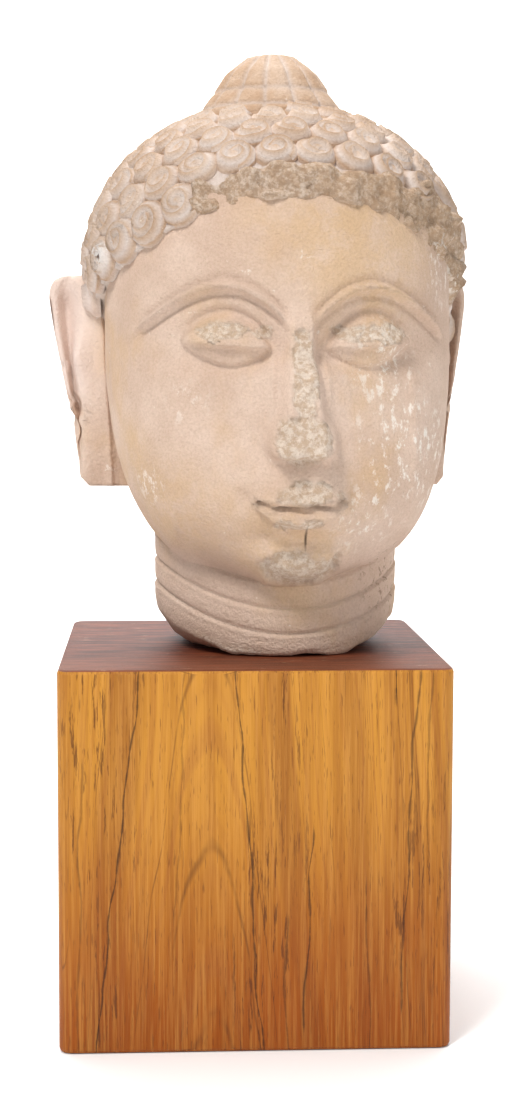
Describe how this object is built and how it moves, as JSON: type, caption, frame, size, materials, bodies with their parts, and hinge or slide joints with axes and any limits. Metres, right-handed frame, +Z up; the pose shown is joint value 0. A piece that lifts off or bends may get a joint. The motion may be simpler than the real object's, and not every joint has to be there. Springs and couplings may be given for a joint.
{
  "type": "buddha head",
  "caption": "Weathered sandstone Buddha head, broken off at the neck, with snail curls and a cranial knob, standing on a solid block of hardwood.",
  "frame": {"origin": "middle of the underside of the wood block", "axes": "+Z up, the face and the block's front look towards -Y, +X is to the right as seen from the front"},
  "size_m": [0.2338, 0.2274, 0.5178],
  "materials": {
    "stone": "matte",
    "wood": "satin"
  },
  "bodies": {
    "root": {"wood_block": "wood", "stone_head": "stone"}
  },
  "joints": []
}
